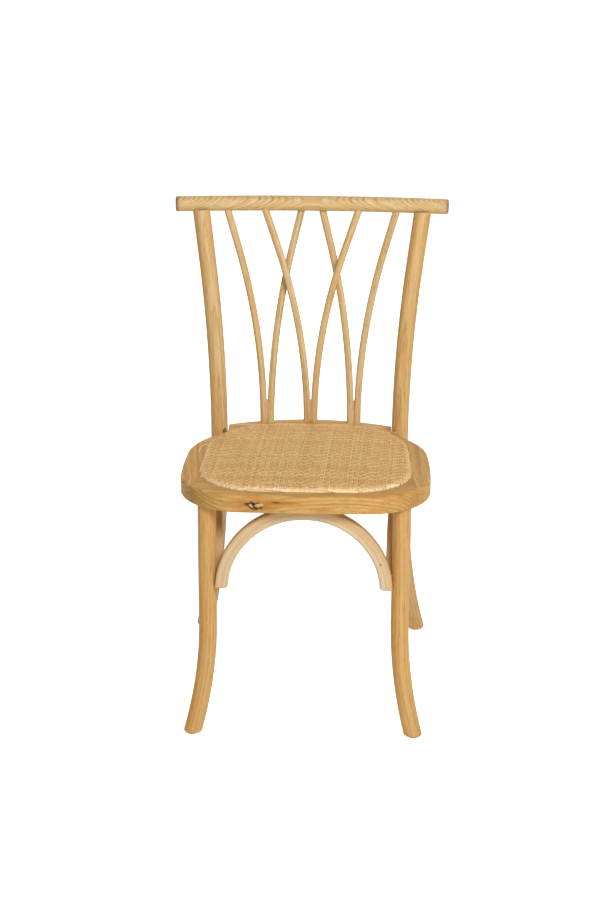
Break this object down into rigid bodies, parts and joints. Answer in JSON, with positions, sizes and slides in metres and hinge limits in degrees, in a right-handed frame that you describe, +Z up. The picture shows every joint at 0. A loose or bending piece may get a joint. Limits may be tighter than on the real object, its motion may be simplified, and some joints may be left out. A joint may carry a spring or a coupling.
{
  "type": "dining chair",
  "caption": "Bent-wood dining chair with a bowed top rail over crossing spindles, a woven rattan seat pad in a jointed wooden frame, and arched braces under the seat.",
  "frame": {"origin": "on the floor under the middle of the chair", "axes": "+Z up, -Y towards the front edge of the seat, +X to the right as seen from the front"},
  "size_m": [0.5008, 0.5, 0.885],
  "materials": {
    "golden_wood": "satin",
    "pale_wood": "satin",
    "dowel_wood": "matte",
    "plywood": "matte",
    "rattan": "matte",
    "foam": "matte",
    "steel": "satin",
    "glide_plastic": "matte"
  },
  "bodies": {
    "root": {"bolt_plugs": "golden_wood", "brace_screws": "steel", "foot_glides": "glide_plastic", "front_brace": "pale_wood", "front_leg_left": "golden_wood", "front_leg_right": "golden_wood", "left_brace": "pale_wood", "rattan_cover": "rattan", "rear_leg_bolts": "steel", "rear_leg_left": "golden_wood", "rear_leg_right": "golden_wood", "right_brace": "pale_wood", "screw_plug": "golden_wood", "seat_back_rail": "golden_wood", "seat_board": "plywood", "seat_board_screws": "steel", "seat_foam": "foam", "seat_frame_dowels": "dowel_wood", "seat_front_rail": "golden_wood", "seat_left_rail": "golden_wood", "seat_right_rail": "golden_wood", "spindle_left_back": "golden_wood", "spindle_left_front": "golden_wood", "spindle_left_outer": "golden_wood", "spindle_right_back": "golden_wood", "spindle_right_front": "golden_wood", "spindle_right_outer": "golden_wood", "toe_screws": "steel", "top_rail": "golden_wood"}
  },
  "joints": []
}
